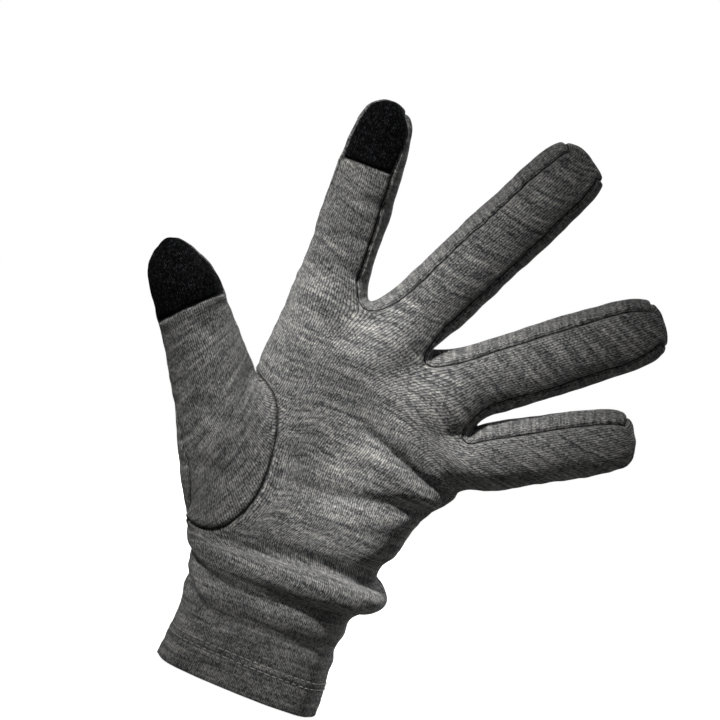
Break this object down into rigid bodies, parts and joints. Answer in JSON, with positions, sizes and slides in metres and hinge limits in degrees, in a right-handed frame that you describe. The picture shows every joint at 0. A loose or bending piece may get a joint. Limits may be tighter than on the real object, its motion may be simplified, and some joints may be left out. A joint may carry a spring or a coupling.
{
  "type": "knitted glove liner",
  "caption": "Left-hand glove liner in grey heather jersey, spread as worn, with set-in thumb, side strips between fingers and black touch panels.",
  "frame": {"origin": "centre of the cuff's mouth, where the hand goes in", "axes": "+Z along the forearm towards the fingers, -Y out of the palm, +X from the thumb's side to the little finger's side"},
  "size_m": [0.1811, 0.0501, 0.2173],
  "materials": {
    "grey_jersey": "heather grey fine jersey, matt, wales along the hand",
    "black_jersey": "black fine jersey with a faint sheen"
  },
  "bodies": {
    "root": {"palm_panel": "grey_jersey", "back_panel": "grey_jersey", "fourchette_index_middle": "grey_jersey", "fourchette_middle_ring": "grey_jersey", "fourchette_ring_little": "grey_jersey", "thumb_front": "grey_jersey", "thumb_back": "grey_jersey", "index_tip": "black_jersey", "thumb_tip": "black_jersey"}
  },
  "joints": []
}
